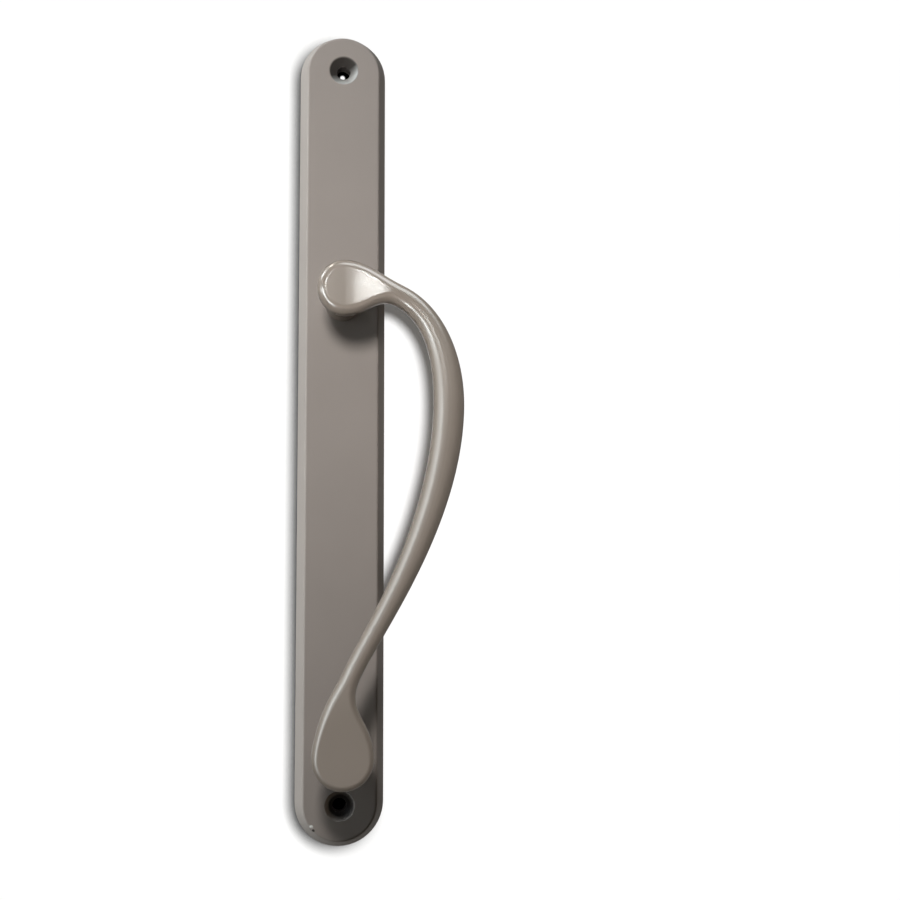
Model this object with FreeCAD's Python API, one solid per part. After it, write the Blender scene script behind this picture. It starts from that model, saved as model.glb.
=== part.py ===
import FreeCAD, Part
import math
import os

# Offset pull handle for a sliding patio door: a hollow cast plate with a bowed grip screwed on from behind.
# Millimetres. The back lies on the door at Y = 0 and the front faces -Y, +Z runs up the plate,
# and the origin is midway between the two door-fixing holes.

# Plate casting
plate_length = 333.5
plate_width = 35.4
plate_depth = 9.0
rim_upright = 1.2          # square band of the side next to the door
side_lean = 3.0            # how far the side leans in between that band and the face
face_edge_r = 1.0
face_wall = 2.6
side_wall = 1.8            # measured at the face, where the leaning side is thinnest
rib_width = 2.4

# Door-fixing holes, countersunk from the front
fixing_inset = 16.75       # end of the plate to the middle of the hole
fixing_hole_d = 5.5
countersink_d = 12.0
countersink_angle = 90.0
fixing_boss_wall = 2.0     # metal left around the countersink

# Nick in the lower edge of the face
nick_d = 2.2
nick_depth = 0.6
nick_angle = 221.0         # round the lower end, from +X towards +Z

# Grip casting
grip_stand = 44.0          # door to the front of the round ends
post_spacing = 179.2
lower_post_rise = 22.0     # lower fixing hole to the lower post
bow_reach = 39.8           # post line to the middle of the bow at its furthest
boss_d = 21.6              # round upper end
boss_thickness = 9.0
boss_edge_r = 3.4
throat_width = 8.2         # just past the upper end
throat_thickness = 9.0
throat_lift = 1.8          # front of the bar ahead of the round ends, here and below
throat_run = 21.0          # distance along the bar from the upper post
swell_width = 11.8         # fullest part of the bow
swell_thickness = 11.0
swell_lift = 6.0
swell_run = 72.0
neck_width = 7.0           # just above the lower end
neck_thickness = 8.0
neck_lift = 1.4
neck_run = 31.0            # distance along the bar from the lower post
foot_d = 23.4              # paddle-shaped lower end
foot_thickness = 9.0
foot_edge_r = 2.2
bar_flat = 0.5             # flat left on the sides of the rounded bar
post_inset = 2.6           # post wall inside the edge of its round end
post_taper = 1.1           # post wall further in where it meets the plate
post_blend_r = 1.6         # hollow between a post and its round end
post_blend_bite = 0.1      # how far that hollow runs into the round end
post_seam_angle = 45.0     # keeps the seam of the turned post off the edges of the bar

# Pulls of the bar's curve between the posts: share of the reach outwards, share of the spacing downwards
bar_pulls = [(0.69, 0.0), (1.31, -0.02), (1.88, 0.54), (-0.48, 0.88), (0.0, 0.80)]
bar_sections = 60

# Grip screws and their lock washers
screw_d = 5.0
screw_length = 16.0
screw_tip = 0.6
head_d = 9.2
head_height = 3.2
head_edge_r = 1.4
head_clearance = 0.6       # head below the back plane
recess_width = 1.2
recess_span = 5.2
recess_depth = 1.6
washer_d = 9.0
washer_thickness = 1.1
washer_slit = 0.9
washer_bore_gap = 0.15
hole_gap = 0.25            # round the screw in the plate
thread_gap = 0.1           # round the screw in the post
tap_spare = 2.5            # tapped hole deeper than the screw's tip
screw_boss_d = 15.0

# Points closer than this count as one level
fuzz = 1e-6
sew_gap = 0.001            # edges closer than this are sewn together

# Levels in front of the door
face_under = plate_depth - face_wall
head_under = head_clearance + head_height
screw_seat = head_under + washer_thickness
screw_end = head_under + screw_length

# Heights of the holes and the posts
fixing_pitch = plate_length - 2 * fixing_inset
fixings = [fixing_pitch / 2, -fixing_pitch / 2]
lower_post_z = fixings[1] + lower_post_rise
posts = [lower_post_z + post_spacing, lower_post_z]


def place(x, out, z):
    """Point at x and z, so far out in front of the door."""
    return FreeCAD.Vector(x, -out, z)


def rod(diameter, low, high, z):
    """Round bar on the plate's middle line, from one level out to another."""
    return Part.makeCylinder(diameter / 2, high - low, place(0, low, z), FreeCAD.Vector(0, -1, 0))


def round_ended(length, width, out):
    """Closed outline with two straight sides and half-round ends, at one level."""
    r = width / 2
    z = length / 2 - r
    right = Part.LineSegment(place(r, out, -z), place(r, out, z))
    top = Part.Arc(place(r, out, z), place(0, out, z + r), place(-r, out, z))
    left = Part.LineSegment(place(-r, out, z), place(-r, out, -z))
    bottom = Part.Arc(place(-r, out, -z), place(0, out, -z - r), place(r, out, -z))
    return Part.Wire([edge.toShape() for edge in (right, top, left, bottom)])


def inset_outline(inset, out):
    """The plate's outline, moved in all round."""
    return round_ended(plate_length - 2 * inset, plate_width - 2 * inset, out)


def plate_body():
    """Solid plate with leaning sides and a rounded edge round the face."""
    outlines = [inset_outline(0, 0), inset_outline(0, rim_upright), inset_outline(side_lean, plate_depth)]
    body = Part.makeLoft(outlines, True, True)
    face_edges = [e for e in body.Edges if all(abs(v.Y + plate_depth) < fuzz for v in e.Vertexes)]
    return body.makeFillet(face_edge_r, face_edges)


def plate_hollow():
    """Space inside the back of the plate, with the bosses and the rib left standing in it."""
    floor = Part.Face(inset_outline(side_lean + side_wall, 0))
    hollow = floor.extrude(place(0, face_under, 0))
    rib_height = face_under - screw_seat
    rib = Part.makeBox(rib_width, rib_height, plate_length, place(-rib_width / 2, face_under, -plate_length / 2))
    bosses = [rod(countersink_d + 2 * fixing_boss_wall, 0, face_under, z) for z in fixings]
    bosses += [rod(screw_boss_d, screw_seat, face_under, z) for z in posts]
    return hollow.cut(bosses + [rib])


def fixing_hole(z):
    """Clearance hole with a cone at the face for a countersunk screw."""
    cone_depth = (countersink_d - fixing_hole_d) / 2 / math.tan(math.radians(countersink_angle / 2))
    hole = rod(fixing_hole_d, 0, plate_depth, z)
    cone = Part.makeCone(countersink_d / 2, fixing_hole_d / 2, cone_depth,
                         place(0, plate_depth, z), FreeCAD.Vector(0, 1, 0))
    return hole.fuse(cone)


def nick():
    """Ball that dents the lower edge of the face."""
    edge_r = plate_width / 2 - side_lean
    angle = math.radians(nick_angle)
    end_z = -(plate_length - plate_width) / 2
    lift = nick_d / 2 - nick_depth
    centre = place(edge_r * math.cos(angle), plate_depth + lift, end_z + edge_r * math.sin(angle))
    return Part.makeSphere(nick_d / 2, centre)


def make_backplate():
    cuts = [plate_hollow(), nick()]
    cuts += [fixing_hole(z) for z in fixings]
    cuts += [rod(screw_d + 2 * hole_gap, 0, plate_depth, z) for z in posts]
    return plate_body().cut(cuts)


def bar_curve():
    """Middle line of the grip's bar, from the upper post to the lower one."""
    poles = [place(0, 0, posts[0])]
    poles += [place(out * bow_reach, 0, posts[0] - down * post_spacing) for out, down in bar_pulls]
    poles += [place(0, 0, posts[1])]
    curve = Part.BezierCurve()
    curve.setPoles(poles)
    return curve


def bar_size(run, length):
    """Width, thickness, edge radius and lift of the bar, easing from one named place to the next."""
    def rounded(width, thickness, lift):
        return (width, thickness, (min(width, thickness) - bar_flat) / 2, lift)

    places = [(0, (boss_d, boss_thickness, boss_edge_r, 0)),
              (throat_run, rounded(throat_width, throat_thickness, throat_lift)),
              (swell_run, rounded(swell_width, swell_thickness, swell_lift)),
              (length - neck_run, rounded(neck_width, neck_thickness, neck_lift)),
              (length, (foot_d, foot_thickness, foot_edge_r, 0))]
    for (start, before), (end, after) in zip(places, places[1:]):
        if run <= end:
            ease = (1 - math.cos(math.pi * (run - start) / (end - start))) / 2
            return [a + (b - a) * ease for a, b in zip(before, after)]
    return list(places[-1][1])


def half_section(centre, side, size):
    """Edges of one half of the bar's rounded-box section, from its back to its front."""
    width, thickness, r, lift = size
    front = grip_stand + lift
    back = front - thickness
    half = width / 2
    diagonal = r * (1 - math.sqrt(0.5))

    def point(across, out):
        return centre + side * across + place(0, out, 0)

    return [
        Part.LineSegment(point(0, back), point(half - r, back)).toShape(),
        Part.Arc(point(half - r, back), point(half - diagonal, back + diagonal), point(half, back + r)).toShape(),
        Part.LineSegment(point(half, back + r), point(half, front - r)).toShape(),
        Part.Arc(point(half, front - r), point(half - diagonal, front - diagonal), point(half - r, front)).toShape(),
        Part.LineSegment(point(half - r, front), point(0, front)).toShape(),
    ]


def bar_frame(curve, run):
    """Middle point of the bar at a distance along it, and the direction across it."""
    at = curve.parameterAtDistance(run, 0)
    ahead = curve.tangent(at)[0]
    return curve.value(at), FreeCAD.Vector(-ahead.z, 0, ahead.x)


def bar_section(curve, run, length):
    """Whole section of the bar at a distance along it."""
    centre, side = bar_frame(curve, run)
    size = bar_size(run, length)
    edges = half_section(centre, side, size)
    edges += half_section(centre, side * -1, size)
    return Part.Wire(Part.__sortEdges__(edges))


def round_end(curve, run, length, turn):
    """Skin of the bar's half-round end: half its section, turned about its post."""
    centre, side = bar_frame(curve, run)
    half = Part.Wire(half_section(centre, side, bar_size(run, length)))
    return half.revolve(centre, FreeCAD.Vector(0, turn, 0), 180)


def post(end_d, end_thickness, end_edge_r, z):
    """Tapered post, turned together with the hollow that blends it into the edge of its round end."""
    wall = end_d / 2 - post_inset
    top = grip_stand - end_thickness / 2
    edge = FreeCAD.Vector(end_d / 2 - end_edge_r, grip_stand - end_thickness + end_edge_r)
    reach = end_edge_r + post_blend_r - post_blend_bite
    across = wall + post_blend_r - edge.x
    hollow = FreeCAD.Vector(wall + post_blend_r, edge.y - math.sqrt(reach ** 2 - across ** 2))
    inward = (edge - hollow).normalize()
    halfway = (inward + FreeCAD.Vector(-1, 0)).normalize()

    def point(at):
        return place(at.x, at.y, z)

    foot = FreeCAD.Vector(wall - post_taper, plate_depth)
    start = FreeCAD.Vector(wall, hollow.y)
    end = hollow + inward * post_blend_r
    rim = Part.Arc(point(start), point(hollow + halfway * post_blend_r), point(end)).toShape()
    corners = [place(end.x, top, z), place(0, top, z), place(0, plate_depth, z)]
    walls = Part.makePolygon([point(end)] + corners + [point(foot), point(start)])
    outline = Part.Face(Part.Wire([rim] + walls.Edges))
    outline.rotate(place(0, 0, z), FreeCAD.Vector(0, 1, 0), post_seam_angle)
    return outline.revolve(place(0, 0, z), FreeCAD.Vector(0, 1, 0), 360)


def make_pull_grip():
    curve = bar_curve()
    length = curve.length()
    wires = [bar_section(curve, length * i / bar_sections, length) for i in range(bar_sections + 1)]
    skins = [Part.makeLoft(wires), round_end(curve, 0, length, -1), round_end(curve, length, length, 1)]
    shell = Part.Shell([face for skin in skins for face in skin.Faces])
    shell.sewShape(sew_gap)
    bar = Part.Solid(shell)
    ends = [(boss_d, boss_thickness, boss_edge_r), (foot_d, foot_thickness, foot_edge_r)]
    columns = [post(*end, z) for end, z in zip(ends, posts)]
    bores = [rod(screw_d + 2 * thread_gap, plate_depth, screw_end + tap_spare, z) for z in posts]
    return bar.fuse(columns).cut(bores)


def make_screw(z):
    """Pan-head machine screw with a cross recess, its head towards the door."""
    head = rod(head_d, head_clearance, head_under, z)
    rim = [e for e in head.Edges if all(abs(v.Y + head_clearance) < fuzz for v in e.Vertexes)]
    head = head.makeFillet(head_edge_r, rim[:1])
    shank = rod(screw_d, head_under, screw_end, z)
    tip = [e for e in shank.Edges if all(abs(v.Y + screw_end) < fuzz for v in e.Vertexes)]
    shank = shank.makeChamfer(screw_tip, tip[:1])
    low = head_clearance + recess_depth
    slots = [Part.makeBox(recess_width, recess_depth, recess_span,
                          place(-recess_width / 2, low, z - recess_span / 2)),
             Part.makeBox(recess_span, recess_depth, recess_width,
                          place(-recess_span / 2, low, z - recess_width / 2))]
    return head.fuse(shank).cut(slots)


def make_washer(z):
    """Split ring between a screw head and its seat."""
    ring = rod(washer_d, head_under, screw_seat, z)
    ring = ring.cut(rod(screw_d + 2 * washer_bore_gap, head_under, screw_seat, z))
    slit = Part.makeBox(washer_slit, washer_thickness, washer_d, place(-washer_slit / 2, screw_seat, z))
    return ring.cut(slit)


nodes = {
    "backplate": make_backplate(),
    "pull_grip": make_pull_grip(),
    "grip_screws": Part.makeCompound([make_screw(z) for z in posts]),
    "lock_washers": Part.makeCompound([make_washer(z) for z in posts]),
}

os.makedirs("parts", exist_ok=True)
for name, shape in nodes.items():
    shape.exportStep("parts/" + name + ".step")
    box = shape.BoundBox
    print(name, len(shape.Solids), shape.isValid(), round(shape.Volume), round(box.XLength, 2),
          round(box.YLength, 2), round(box.ZLength, 2))
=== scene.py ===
"""Looks for the sliding patio door handle: lacquered castings, plated fasteners, a stage and a camera."""
import math

import bpy
import numpy as np
from bpy.props import FloatProperty, FloatVectorProperty, PointerProperty
from bpy.types import Operator, Panel, PropertyGroup
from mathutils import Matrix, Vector


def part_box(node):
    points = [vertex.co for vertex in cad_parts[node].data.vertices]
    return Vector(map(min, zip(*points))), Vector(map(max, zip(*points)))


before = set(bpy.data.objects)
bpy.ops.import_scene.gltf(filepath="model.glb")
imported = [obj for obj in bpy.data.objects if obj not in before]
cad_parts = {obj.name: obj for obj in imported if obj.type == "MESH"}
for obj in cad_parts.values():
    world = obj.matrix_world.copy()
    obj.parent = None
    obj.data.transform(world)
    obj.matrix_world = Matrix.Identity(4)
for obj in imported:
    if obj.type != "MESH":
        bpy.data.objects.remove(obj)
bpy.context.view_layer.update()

bl_info = {
    "name": "Patio Door Handle",
    "version": (1, 0, 0),
    "blender": (4, 5, 0),
    "location": "View3D > Sidebar > Handle",
    "description": "Dresses the offset pull handle of a sliding patio door and sets its stage",
    "category": "Object",
}

MM = 0.001

# Places on the plate casting, in metres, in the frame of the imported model
PLATE_LOW, PLATE_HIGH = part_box("backplate")
END_CENTRE_Z = PLATE_HIGH.z - PLATE_HIGH.x
SIDE_LEAN = 3.0 * MM
FACE_HALF = PLATE_HIGH.x - SIDE_LEAN
RIM_WIDTH = 4.8 * MM
HOLLOW_ROOF_Y = -6.4 * MM
FIXING_Z = 150 * MM
COUNTERSINK_R = 6.0 * MM
BORE_R = 2.75 * MM
# Behind the countersink's cone, Y plus the distance from the hole's axis is above this
CONE_BACK = -2.5 * MM

# Painted shade in the countersinks: whole up to the first distance from the axis and gone at the second
SINK_SHADE_EDGE = (COUNTERSINK_R - 0.5 * MM, COUNTERSINK_R + 0.3 * MM)
SINK_PAINTED_SHADE = 0.18
# The dark painted shade of the lower one stops this much nearer to the axis
SINK_SHADE_SHORT = 1.5 * MM
# Painted shade and light on the rest of the lower cone: darker than the lacquer on its right side, lighter
# on its left
LOWER_CONE_SHADES = (0.25, 1.6)
LOWER_CONE_HALF = 5 * MM
# Painted highlight on the upper cone, downwards and to the right of its axis where light falls on it, from
# the first distance to the second
HIGHLIGHT_WAY = (0.45, 0.0, -0.89)
HIGHLIGHT_FROM, HIGHLIGHT_TO = -0.5 * MM, 3.5 * MM
HIGHLIGHT_SHADE = 1.5
# Painted shade down the bores: whole up to the first distance from the axis and gone at the second
BORE_EDGE = (BORE_R + 0.1 * MM, BORE_R + 0.2 * MM)
BORE_PAINTED_SHADE = 0.3

# The nick in the edge of the face, by its angle round the lower end, with a bare zinc spot brightened into a
# painted glint and a spot of painted shadow
NICK_ANGLE = math.radians(221)
NICK = Vector((FACE_HALF * math.cos(NICK_ANGLE), PLATE_LOW.y,
               FACE_HALF * math.sin(NICK_ANGLE) - END_CENTRE_Z))
NICK_BARE_GLINT = NICK + Vector((0, 0, 0.9)) * MM
NICK_SHADOW_SPOT = NICK + Vector((0.65, 0, -0.6)) * MM
NICK_EDGE = (0.5 * MM, 0.9 * MM)
BARE_GLINT_SHADE, NICK_SHADOW_SHADE = 2.6, 0.12

# Sizes of what the lacquer and the plating show, in millimetres
PLATE_CLOUD_MM = 28
GRIP_CLOUD_MM = 22
RIPPLE_MM = 2.4
RIPPLE_HEIGHT = 0.03 * MM
PLATING_CLOUD_MM = 1.2
# The grip is dull below the first height and glossy above the second
DULL_Z, GLOSSY_Z = 20 * MM, 45 * MM

# Both lacquers: metal flake doesn't whiten at a glancing angle as a clear varnish does
LACQUER = {"Specular IOR Level": 0.05, "Specular Tint": (0.3, 0.3, 0.3, 1.0)}

# Lamp colours: plain, the cool light of a window, the sky that warm lacquer reflects, and warm dim shade
WHITE = (1.0, 1.0, 1.0)
COOL = (0.86, 0.95, 1.0)
BLUE = (0.68, 0.84, 1.0)
WARM = (1.0, 0.84, 0.6, 1.0)

# Name, place, aim, width and height, the setting that gives the power and the lamp's share of it,
# colour, and whether the lamp shows as light, as gloss or as both
LAMPS = (
    ("key_lamp", (-0.055, -0.34, 0.105), (0, 0, 0.04), (0.05, 0.06),
     "key_watts", 1.0, WHITE, "light"),
    ("side_lamp", (-0.38, -0.03, 0), (0, -0.03, 0), (0.05, 0.75),
     "side_watts", 1.0, COOL, "light"),
    ("bow_lamp", (-0.38, -0.05, -0.05), (0, -0.05, -0.05), (0.05, 0.45),
     "side_watts", 0.32, COOL, "light"),
    ("top_lamp", (-0.19, -0.034, 0.42), (0, -0.02, 0.10), (0.12, 0.05),
     "top_watts", 1.0, COOL, "both"),
    ("back_lamp", (-0.05, 0.90, 0.05), (0, 0, 0), (0.40, 0.50),
     "back_watts", 1.0, WHITE, "both"),
    ("glint_lamp", (-0.062, -0.41, 0.153), (0, -0.045, 0.05), (0.03, 0.012),
     "glint_watts", 1.0, BLUE, "gloss"),
    ("low_panel", (-0.265, -0.41, -0.18), (0.03, -0.045, 0.03), (0.10, 0.11),
     "panel_watts", 0.62, BLUE, "gloss"),
    ("mid_panel", (-0.385, -0.41, 0.0), (0.03, -0.045, 0.03), (0.09, 0.20),
     "panel_watts", 0.85, BLUE, "gloss"),
    ("side_panel", (-0.38, -0.23, 0.06), (0.035, -0.048, 0), (0.34, 0.08),
     "panel_watts", 0.5, BLUE, "gloss"),
    ("corner_panel", (-0.385, -0.09, 0.365), (0, -0.045, 0.05), (0.16, 0.16),
     "panel_watts", 1.0, BLUE, "gloss"),
    ("foot_panel", (0.01, -0.41, -0.18), (0, -0.045, -0.12), (0.34, 0.30),
     "panel_watts", 0.11, WHITE, "gloss"),
    ("top_panel", (0.14, -0.23, 0.42), (0.02, -0.045, 0.05), (0.40, 0.25),
     "panel_watts", 1.25, BLUE, "gloss"),
)
SUN_WAY = (0.02, 1, 0.08)
SUN_ANGLE = math.radians(7)

# The card behind the plate: its size, its gap, and how its shade lies beside the plate
CARD_HALF = 1.2
CARD_Y = PLATE_HIGH.y + 0.2 * MM
SHADE_WAY = (0.75, -0.5, 0.4)
SHADE_REACH = 5.5 * MM
DEEP_REACH = 12 * MM
SHADE_SAMPLES = 16
CARD_GLOW = 0.1
CARD_SHADE = 0.15
# Painted light: the white spot that shows through the upper hole, where light through the hole falls on the
# card
SPOT = (-0.2 * MM, CARD_Y, FIXING_Z + 0.1 * MM)
SPOT_EDGE = (0.7 * MM, 1.2 * MM)
# Around the holes the card stops the back lamp, so that it doesn't shine through them
STOP_R = BORE_R + 0.6 * MM
SENSOR_MM = 36


def linear(hex_colour):
    """sRGB hex to the linear values that shaders use."""
    parts = [int(hex_colour[i:i + 2], 16) / 255 for i in (1, 3, 5)]
    return tuple(c / 12.92 if c <= 0.04045 else ((c + 0.055) / 1.055) ** 2.4 for c in parts)


def rgba(colour, shade=1.0):
    """Colour, made darker or lighter by a factor, as a socket takes it."""
    return tuple(c * shade for c in colour) + (1.0,)


def wave(size_mm):
    """Noise scale whose lumps are about this many millimetres across, on Object coordinates."""
    return 1 / (size_mm * MM)


def put(tree, kind, sockets=None, **settings):
    """Adds a node, sets it, and fills its sockets with values or links."""
    node = tree.nodes.new(kind)
    for name, value in settings.items():
        setattr(node, name, value)
    for name, value in (sockets or {}).items():
        if isinstance(value, bpy.types.NodeSocket):
            tree.links.new(value, node.inputs[name])
        else:
            node.inputs[name].default_value = value
    return node


def new_material(name):
    """Empty node material and its tree."""
    material = bpy.data.materials.new(name)
    material.use_nodes = True
    material.node_tree.nodes.clear()
    return material, material.node_tree


def off_points(tree, at, height, joined=False):
    """Distance in X and Z from the points this far above and below the middle, or from the line between."""
    off = put(tree, "ShaderNodeVectorMath", {0: at}, operation="ABSOLUTE")
    off = put(tree, "ShaderNodeVectorMath", {0: off.outputs[0], 1: (0, 0, height)}, operation="SUBTRACT")
    if joined:
        off = put(tree, "ShaderNodeVectorMath", {0: off.outputs[0], 1: (0, 0, 0)}, operation="MAXIMUM")
    flat = put(tree, "ShaderNodeVectorMath", {0: off.outputs[0], 1: (1, 0, 1)}, operation="MULTIPLY")
    return put(tree, "ShaderNodeVectorMath", {0: flat.outputs[0]}, operation="LENGTH").outputs["Value"]


def lay_near(tree, tone, colour, distance, full, none):
    """Lays a colour over a tone, whole up to the first distance and gone at the second."""
    mask = put(tree, "ShaderNodeMapRange", {"Value": distance, "From Min": full, "From Max": none,
                                            "To Min": 1.0, "To Max": 0.0})
    return put(tree, "ShaderNodeMix", {"Factor": mask.outputs["Result"], "A": tone, "B": colour},
               data_type="RGBA").outputs["Result"]


def clouded(tree, at, colour, size_mm, swing):
    """Colour that drifts darker and lighter by this share, in clouds of this size."""
    cloud = put(tree, "ShaderNodeTexNoise", {"Vector": at, "Scale": wave(size_mm), "Detail": 2.0})
    return put(tree, "ShaderNodeMix", {"Factor": cloud.outputs["Fac"], "A": rgba(colour, 1 - swing),
                                       "B": rgba(colour, 1 + swing)}, data_type="RGBA").outputs["Result"]


def shown_rays(tree, path):
    """One on the rays that show the background: those of the camera, of gloss and of glass."""
    shown = put(tree, "ShaderNodeMath", {0: path["Is Camera Ray"], 1: path["Is Glossy Ray"]},
                operation="MAXIMUM")
    return put(tree, "ShaderNodeMath", {0: shown.outputs[0], 1: path["Is Transmission Ray"]},
               operation="MAXIMUM").outputs[0]


def wear(node_name, material):
    """Gives a CAD node this material in every slot."""
    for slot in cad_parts[node_name].material_slots:
        slot.material = material


class PlateFinish(PropertyGroup):
    """Lacquer on the plate casting."""
    colour: FloatVectorProperty(name="Lacquer", description="Nickel coloured lacquer on the plate",
                                subtype="COLOR", size=3, min=0, max=1, default=linear("#988f88"))
    bare_colour: FloatVectorProperty(name="Bare casting",
                                     description="Zinc alloy where the lacquer is thin or missing",
                                     subtype="COLOR", size=3, min=0, max=1, default=linear("#9b9a96"))
    flake_mm: FloatProperty(name="Flake (mm)", description="Width of the metal flake clusters",
                            min=0.1, default=0.7)


class GripFinish(PropertyGroup):
    """Lacquer on the grip casting."""
    colour: FloatVectorProperty(name="Lacquer", description="Nickel coloured lacquer on the grip",
                                subtype="COLOR", size=3, min=0, max=1, default=linear("#94897e"))


class PlatingFinish(PropertyGroup):
    """Zinc plating on the screws and washers."""
    colour: FloatVectorProperty(name="Plating", description="Bright zinc plating",
                                subtype="COLOR", size=3, min=0, max=1, default=linear("#c3c4c1"))


class StageSettings(PropertyGroup):
    """Camera, lamps and the pale ground behind the handle."""
    camera_place: FloatVectorProperty(name="Camera", description="Where the camera stands",
                                      subtype="TRANSLATION", unit="LENGTH",
                                      default=(-0.01840, -0.55997, -0.06317))
    camera_turn: FloatVectorProperty(name="Turn", description="Turn of the camera about X, Y and Z",
                                     subtype="EULER",
                                     default=tuple(math.radians(a) for a in (95.645, 0.123, -6.466)))
    lens_mm: FloatProperty(name="Lens (mm)", description="Focal length on a 36 mm sensor", default=54.573)
    ground_colour: FloatVectorProperty(name="Ground", description="Colour of the ground behind the handle",
                                       subtype="COLOR", size=3, min=0, max=1, default=linear("#f2f2f0"))
    key_watts: FloatProperty(name="Key", description="Power of the lamp in front of the upper end",
                             unit="POWER", default=0.96)
    side_watts: FloatProperty(name="Side", description="Power of the tall lamp beside the plate",
                              unit="POWER", default=1.5)
    top_watts: FloatProperty(name="Top", description="Power of the lamp that grazes the plate from above",
                             unit="POWER", default=0.9)
    back_watts: FloatProperty(name="Back", description="Power of the broad lamp behind the plate",
                              unit="POWER", default=10.0)
    glint_watts: FloatProperty(name="Glint", description="Power of the small lamp seen only in reflections",
                               unit="POWER", default=0.36)
    panel_watts: FloatProperty(name="Panels", description="Power that the panels seen in reflections share",
                               unit="POWER", default=2.5)
    backdrop: FloatProperty(name="Backdrop", description="Brightness of what is seen past the ground",
                            default=0.3)
    sky: FloatProperty(name="Sky", description="Strength of the even light from all sides", default=0.03)


class HandleSettings(PropertyGroup):
    """All settings of the handle."""
    plate: PointerProperty(type=PlateFinish)
    grip: PointerProperty(type=GripFinish)
    plating: PointerProperty(type=PlatingFinish)
    stage: PointerProperty(type=StageSettings)


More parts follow.
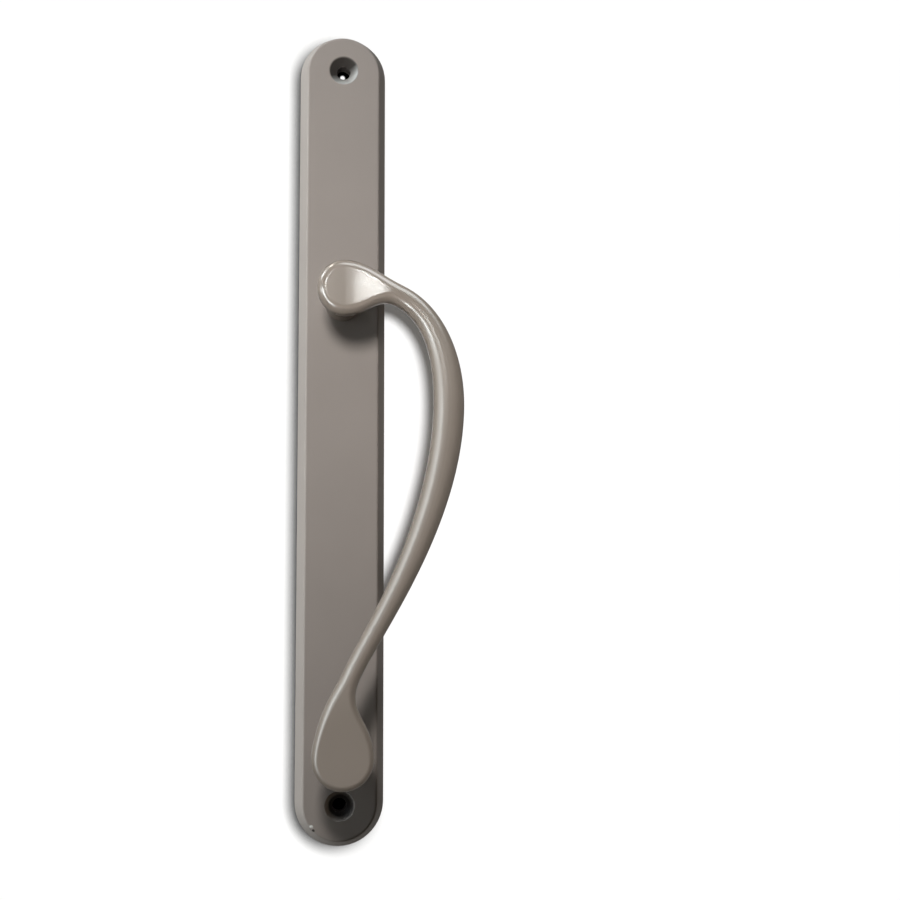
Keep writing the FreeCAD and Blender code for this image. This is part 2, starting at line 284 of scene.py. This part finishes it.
class HANDLE_OT_dress_backplate(Operator):
    """Lacquers the plate casting"""
    bl_idname = "handle.dress_backplate"
    bl_label = "Dress Backplate"

    def execute(self, context):
        finish = context.scene.patio_handle.plate
        # Satin nickel coloured lacquer, sprayed on a zinc casting and baked: a warm grey with a fine
        # metal flake, a faint ripple and a soft, low gloss. The flake is drawn coarser than it is, to show
        material, tree = new_material("satin_nickel_lacquer")
        at = put(tree, "ShaderNodeTexCoord").outputs["Object"]
        axes = put(tree, "ShaderNodeSeparateXYZ", {"Vector": at}).outputs
        off_axis = off_points(tree, at, FIXING_Z)
        tone = clouded(tree, at, finish.colour, PLATE_CLOUD_MM, 0.05)
        tone = self.shade_countersinks(tree, tone, finish, at, axes, off_axis)
        tone = self.bare_hollow(tree, tone, finish, at, axes, off_axis)
        # Painted shade down the bores
        tone = lay_near(tree, tone, rgba(finish.colour, BORE_PAINTED_SHADE), off_axis, *BORE_EDGE)
        # The nick: bare zinc brightened into a painted glint above, and a painted shadow in its deep part
        # below
        for middle, spot in ((NICK_BARE_GLINT, rgba(finish.bare_colour, BARE_GLINT_SHADE)),
                             (NICK_SHADOW_SPOT, rgba(finish.colour, NICK_SHADOW_SHADE))):
            gap = put(tree, "ShaderNodeVectorMath", {0: at, 1: middle}, operation="DISTANCE")
            tone = lay_near(tree, tone, spot, gap.outputs["Value"], *NICK_EDGE)
        flake = put(tree, "ShaderNodeTexNoise",
                    {"Vector": at, "Scale": wave(finish.flake_mm), "Detail": 2.0})
        speck = put(tree, "ShaderNodeMapRange", {"Value": flake.outputs["Fac"], "From Min": 0.3,
                                                 "From Max": 0.7, "To Min": 0.54, "To Max": 0.62})
        ripple = put(tree, "ShaderNodeTexNoise", {"Vector": at, "Scale": wave(RIPPLE_MM), "Detail": 1.0})
        bump = put(tree, "ShaderNodeBump", {"Height": ripple.outputs["Fac"], "Strength": 0.25,
                                            "Distance": RIPPLE_HEIGHT})
        shader = put(tree, "ShaderNodeBsdfPrincipled",
                     {"Base Color": tone, "Metallic": 0.04, "Roughness": speck.outputs["Result"],
                      "Normal": bump.outputs["Normal"], **LACQUER})
        put(tree, "ShaderNodeOutputMaterial", {"Surface": shader.outputs["BSDF"]})
        wear("backplate", material)
        return {"FINISHED"}

    def shade_countersinks(self, tree, tone, finish, at, axes, off_axis):
        """Paints shade into the countersinks, and a painted highlight on the lower right of the upper one.
        """
        # Painted highlight: the lower right of the upper cone is lightened in a brightened bare zinc colour,
        # where light falls on it
        slant = put(tree, "ShaderNodeVectorMath", {0: at, 1: HIGHLIGHT_WAY}, operation="DOT_PRODUCT")
        axis_slant = HIGHLIGHT_WAY[2] * FIXING_Z
        ramp = put(tree, "ShaderNodeMapRange", {"Value": slant.outputs["Value"],
                                                  "From Min": axis_slant + HIGHLIGHT_FROM,
                                                  "From Max": axis_slant + HIGHLIGHT_TO})
        upper = put(tree, "ShaderNodeMath", {0: axes["Z"], 1: 0.0}, operation="GREATER_THAN")
        ramp = put(tree, "ShaderNodeMath", {0: ramp.outputs["Result"], 1: upper.outputs[0]},
                     operation="MULTIPLY")
        # Painted shade deep in the countersinks, with the painted highlight laid over it in the upper one
        sink = put(tree, "ShaderNodeMix", {"Factor": ramp.outputs[0],
                                           "A": rgba(finish.colour, SINK_PAINTED_SHADE),
                                           "B": rgba(finish.bare_colour, HIGHLIGHT_SHADE)}, data_type="RGBA")
        # In the lower one the dark painted shade stops short of the rim, and around it the painted shade
        # turns to painted light towards the left
        thin = put(tree, "ShaderNodeMapRange", {"Value": axes["X"], "From Min": -LOWER_CONE_HALF,
                                                "From Max": LOWER_CONE_HALF, "To Min": 1.0, "To Max": 0.0})
        right_shade, left_shade = LOWER_CONE_SHADES
        lower_cone_shading = put(tree, "ShaderNodeMix", {"Factor": thin.outputs["Result"],
                                           "A": rgba(finish.colour, right_shade),
                                           "B": rgba(finish.colour, left_shade)}, data_type="RGBA")
        tone = lay_near(tree, tone, lower_cone_shading.outputs["Result"], off_axis, *SINK_SHADE_EDGE)
        lower = put(tree, "ShaderNodeMath", {0: axes["Z"], 1: 0.0}, operation="LESS_THAN")
        shade_distance = put(tree, "ShaderNodeMath", {0: lower.outputs[0], 1: SINK_SHADE_SHORT, 2: off_axis},
                    operation="MULTIPLY_ADD")
        return lay_near(tree, tone, sink.outputs["Result"], shade_distance.outputs[0], *SINK_SHADE_EDGE)

    def bare_hollow(self, tree, tone, finish, at, axes, off_axis):
        """Leaves bare zinc in the hollow back, where the spray doesn't reach."""
        inside = put(tree, "ShaderNodeMath", {0: off_points(tree, at, END_CENTRE_Z, joined=True),
                                              1: PLATE_HIGH.x - RIM_WIDTH}, operation="LESS_THAN")
        behind = put(tree, "ShaderNodeMath", {0: axes["Y"], 1: HOLLOW_ROOF_Y - 0.4 * MM},
                     operation="GREATER_THAN")
        hollow = put(tree, "ShaderNodeMath", {0: inside.outputs[0], 1: behind.outputs[0]},
                     operation="MULTIPLY")
        sloped = put(tree, "ShaderNodeMath", {0: axes["Y"], 1: off_axis}, operation="ADD")
        past_cone = put(tree, "ShaderNodeMath", {0: sloped.outputs[0], 1: CONE_BACK},
                        operation="GREATER_THAN")
        hollow = put(tree, "ShaderNodeMath", {0: hollow.outputs[0], 1: past_cone.outputs[0]},
                     operation="MULTIPLY")
        return put(tree, "ShaderNodeMix",
                   {"Factor": hollow.outputs[0], "A": tone, "B": rgba(finish.bare_colour)},
                   data_type="RGBA").outputs["Result"]


class HANDLE_OT_dress_pull_grip(Operator):
    """Lacquers the grip casting"""
    bl_idname = "handle.dress_pull_grip"
    bl_label = "Dress Pull Grip"

    def execute(self, context):
        finish = context.scene.patio_handle.grip
        # The same lacquer, but glossier: clear reflections of the lamps on the round upper end,
        # and softer ones along the bar and the paddle, where hands rub it
        material, tree = new_material("polished_nickel_lacquer")
        at = put(tree, "ShaderNodeTexCoord").outputs["Object"]
        tone = clouded(tree, at, finish.colour, GRIP_CLOUD_MM, 0.04)
        height = put(tree, "ShaderNodeSeparateXYZ", {"Vector": at}).outputs["Z"]
        ramp = put(tree, "ShaderNodeMapRange", {"Value": height, "From Min": DULL_Z, "From Max": GLOSSY_Z,
                                                  "To Min": 0.40, "To Max": 0.25})
        shader = put(tree, "ShaderNodeBsdfPrincipled",
                     {"Base Color": tone, "Metallic": 0.2, "Roughness": ramp.outputs["Result"], **LACQUER})
        put(tree, "ShaderNodeOutputMaterial", {"Surface": shader.outputs["BSDF"]})
        wear("pull_grip", material)
        return {"FINISHED"}


class HANDLE_OT_dress_fasteners(Operator):
    """Plates the grip screws and their lock washers"""
    bl_idname = "handle.dress_fasteners"
    bl_label = "Dress Fasteners"

    def execute(self, context):
        finish = context.scene.patio_handle.plating
        # Bright zinc plated steel: a light grey metal, a little cloudy
        material, tree = new_material("zinc_plated_steel")
        at = put(tree, "ShaderNodeTexCoord").outputs["Object"]
        cloud = put(tree, "ShaderNodeTexNoise",
                    {"Vector": at, "Scale": wave(PLATING_CLOUD_MM), "Detail": 3.0})
        rough = put(tree, "ShaderNodeMapRange",
                    {"Value": cloud.outputs["Fac"], "To Min": 0.25, "To Max": 0.45})
        shader = put(tree, "ShaderNodeBsdfPrincipled", {"Base Color": rgba(finish.colour), "Metallic": 1.0,
                                                        "Roughness": rough.outputs["Result"]})
        put(tree, "ShaderNodeOutputMaterial", {"Surface": shader.outputs["BSDF"]})
        for node_name in ("grip_screws", "lock_washers"):
            wear(node_name, material)
        return {"FINISHED"}


class HANDLE_OT_set_stage(Operator):
    """Puts up the ground, the lamps and the camera"""
    bl_idname = "handle.set_stage"
    bl_label = "Set Stage"

    def execute(self, context):
        stage = context.scene.patio_handle.stage
        ground = self.lay_ground(context, stage)
        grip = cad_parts["pull_grip"]
        for name, place, aim, size, setting, share, colour, shows in LAMPS:
            lamp = self.hang_lamp(context, name, place, aim, size, share * getattr(stage, setting), colour)
            lamp.visible_diffuse = shows != "gloss"
            lamp.visible_glossy = shows != "light"
            spared = (ground, grip) if name == "side_lamp" else (ground,)
            self.choose_receivers(lamp, spared, "EXCLUDE")
        # The bow's shadow on the card
        sun = bpy.data.lights.new("card_lamp", "SUN")
        sun.energy = math.pi
        sun.angle = SUN_ANGLE
        shone = bpy.data.objects.new("card_lamp", sun)
        shone.rotation_euler = Vector(SUN_WAY).to_track_quat("-Z", "Y").to_euler()
        context.scene.collection.objects.link(shone)
        self.choose_receivers(shone, (ground,), "INCLUDE")
        self.light_sky(context, stage)
        camera = bpy.data.cameras.new("photo_camera")
        camera.sensor_width = SENSOR_MM
        camera.lens = stage.lens_mm
        seen = bpy.data.objects.new("photo_camera", camera)
        seen.location = stage.camera_place
        seen.rotation_euler = stage.camera_turn
        context.scene.collection.objects.link(seen)
        context.scene.camera = seen
        context.scene.view_settings.view_transform = "Standard"
        return {"FINISHED"}

    def lay_ground(self, context, stage):
        """Flat square behind the plate, facing the camera: two by two corners on a grid in X and Z."""
        ends = (-CARD_HALF, CARD_HALF)
        x, z = np.meshgrid(ends, ends)
        corners = np.stack([x.ravel(), np.full(4, CARD_Y), z.ravel()], axis=1)
        mesh = bpy.data.meshes.new("ground")
        mesh.from_pydata(corners.tolist(), [], [(0, 1, 3, 2)])
        mesh.materials.append(self.make_card(stage))
        ground = bpy.data.objects.new("ground", mesh)
        context.scene.collection.objects.link(ground)
        return ground

    def make_card(self, stage):
        """Card that shows white, keeps the handle's shadow and is clear from behind."""
        # Matt white card: white to the camera and in reflections, with a soft shadow beside the handle that
        # the card lamp casts and that ambient occlusion paints in, and clear from behind and to the back
        # lamp
        material, tree = new_material("matt_white_card")
        at = put(tree, "ShaderNodeTexCoord").outputs["Object"]
        path = put(tree, "ShaderNodeLightPath").outputs
        lean = put(tree, "ShaderNodeCombineXYZ", dict(zip("XYZ", SHADE_WAY)))
        # Painted shade from ambient occlusion, leaning so that it lies beside the plate
        near = put(tree, "ShaderNodeAmbientOcclusion",
                   {"Distance": SHADE_REACH, "Normal": lean.outputs["Vector"]}, samples=SHADE_SAMPLES)
        near = put(tree, "ShaderNodeMapRange", {"Value": near.outputs["AO"], "From Min": 0.47,
                                                "From Max": 0.97, "To Min": 0.1, "To Max": 1.0})
        deep = put(tree, "ShaderNodeAmbientOcclusion", {"Distance": DEEP_REACH}, samples=SHADE_SAMPLES)
        deep = put(tree, "ShaderNodeMapRange",
                   {"Value": deep.outputs["AO"], "From Min": 0.08, "From Max": 0.45})
        shade = put(tree, "ShaderNodeMath", {0: near.outputs["Result"], 1: deep.outputs["Result"]},
                    operation="MULTIPLY")
        # Painted shade: black behind the plate's face, where the plate shades the card, except for the white
        # spot of painted light
        beside = put(tree, "ShaderNodeMath", {0: off_points(tree, at, END_CENTRE_Z, joined=True),
                                              1: FACE_HALF}, operation="GREATER_THAN")
        shade = put(tree, "ShaderNodeMath", {0: shade.outputs[0], 1: beside.outputs[0]},
                    operation="MULTIPLY")
        gap = put(tree, "ShaderNodeVectorMath", {0: at, 1: SPOT}, operation="DISTANCE")
        shade = lay_near(tree, shade.outputs[0], rgba(WHITE), gap.outputs["Value"], *SPOT_EDGE)
        lit = put(tree, "ShaderNodeBsdfDiffuse", {"Color": shade})
        glow = put(tree, "ShaderNodeEmission", {"Color": shade, "Strength": 1.0})
        white = put(tree, "ShaderNodeMixShader", {0: CARD_GLOW, 1: lit.outputs["BSDF"],
                                                  2: glow.outputs["Emission"]})
        card = put(tree, "ShaderNodeBsdfDiffuse", {"Color": rgba(stage.ground_colour, CARD_SHADE)})
        front = put(tree, "ShaderNodeMixShader", {0: shown_rays(tree, path), 1: card.outputs["BSDF"],
                                                  2: white.outputs["Shader"]})
        clear = put(tree, "ShaderNodeBsdfTransparent")
        from_behind = put(tree, "ShaderNodeNewGeometry").outputs["Backfacing"]
        solid = put(tree, "ShaderNodeMath", {0: off_points(tree, at, FIXING_Z), 1: STOP_R},
                    operation="GREATER_THAN")
        shone = put(tree, "ShaderNodeMath", {0: path["Is Shadow Ray"], 1: solid.outputs[0]},
                    operation="MULTIPLY")
        passed = put(tree, "ShaderNodeMath", {0: from_behind, 1: shone.outputs[0]}, operation="MAXIMUM")
        both = put(tree, "ShaderNodeMixShader", {0: passed.outputs[0], 1: front.outputs["Shader"],
                                                 2: clear.outputs["BSDF"]})
        put(tree, "ShaderNodeOutputMaterial", {"Surface": both.outputs["Shader"]})
        return material

    def choose_receivers(self, lamp, objects, state):
        """Keeps a lamp's light off these objects, or on them alone."""
        receivers = bpy.data.collections.new(lamp.name + "_receivers")
        for thing in objects:
            receivers.objects.link(thing)
        for link in receivers.collection_objects:
            link.light_linking.link_state = state
        lamp.light_linking.receiver_collection = receivers

    def hang_lamp(self, context, name, place, aim, size, watts, colour):
        """Flat lamp at a place, turned to its aim and hidden from the camera."""
        lamp = bpy.data.lights.new(name, "AREA")
        lamp.shape = "RECTANGLE"
        lamp.size, lamp.size_y = size
        lamp.energy = watts
        lamp.color = colour
        hung = bpy.data.objects.new(name, lamp)
        hung.location = place
        hung.rotation_euler = (Vector(aim) - Vector(place)).to_track_quat("-Z", "Y").to_euler()
        hung.visible_camera = False
        context.scene.collection.objects.link(hung)
        return hung

    def light_sky(self, context, stage):
        """Dim warm light from all sides, with a plain backdrop where it is seen."""
        world = bpy.data.worlds.new("studio")
        world.use_nodes = True
        world.node_tree.nodes.clear()
        tree = world.node_tree
        shown = shown_rays(tree, put(tree, "ShaderNodeLightPath").outputs)
        dim = put(tree, "ShaderNodeBackground", {"Color": WARM, "Strength": stage.sky})
        pale = put(tree, "ShaderNodeBackground", {"Color": rgba(WHITE), "Strength": stage.backdrop})
        sky = put(tree, "ShaderNodeMixShader", {0: shown, 1: dim.outputs[0], 2: pale.outputs[0]})
        put(tree, "ShaderNodeOutputWorld", {"Surface": sky.outputs["Shader"]})
        context.scene.world = world


class HANDLE_PT_panel(Panel):
    """Sidebar list of the handle's pieces and stage"""
    bl_idname = "HANDLE_PT_panel"
    bl_label = "Patio Door Handle"
    bl_space_type = "VIEW_3D"
    bl_region_type = "UI"
    bl_category = "Handle"

    def draw(self, context):
        settings = context.scene.patio_handle
        for group, operator in ((settings.plate, "handle.dress_backplate"),
                                (settings.grip, "handle.dress_pull_grip"),
                                (settings.plating, "handle.dress_fasteners"),
                                (settings.stage, "handle.set_stage")):
            box = self.layout.box()
            for name in group.bl_rna.properties.keys():
                if name not in {"rna_type", "name"}:
                    box.prop(group, name)
            box.operator(operator)


CLASSES = (PlateFinish, GripFinish, PlatingFinish, StageSettings, HandleSettings,
           HANDLE_OT_dress_backplate, HANDLE_OT_dress_pull_grip, HANDLE_OT_dress_fasteners,
           HANDLE_OT_set_stage, HANDLE_PT_panel)


def register():
    for cls in CLASSES:
        bpy.utils.register_class(cls)
    bpy.types.Scene.patio_handle = PointerProperty(type=HandleSettings)


def unregister():
    del bpy.types.Scene.patio_handle
    for cls in reversed(CLASSES):
        bpy.utils.unregister_class(cls)


def main():
    register()
    bpy.ops.handle.dress_backplate()
    bpy.ops.handle.dress_pull_grip()
    bpy.ops.handle.dress_fasteners()
    bpy.ops.handle.set_stage()


if __name__ == "__main__":
    main()
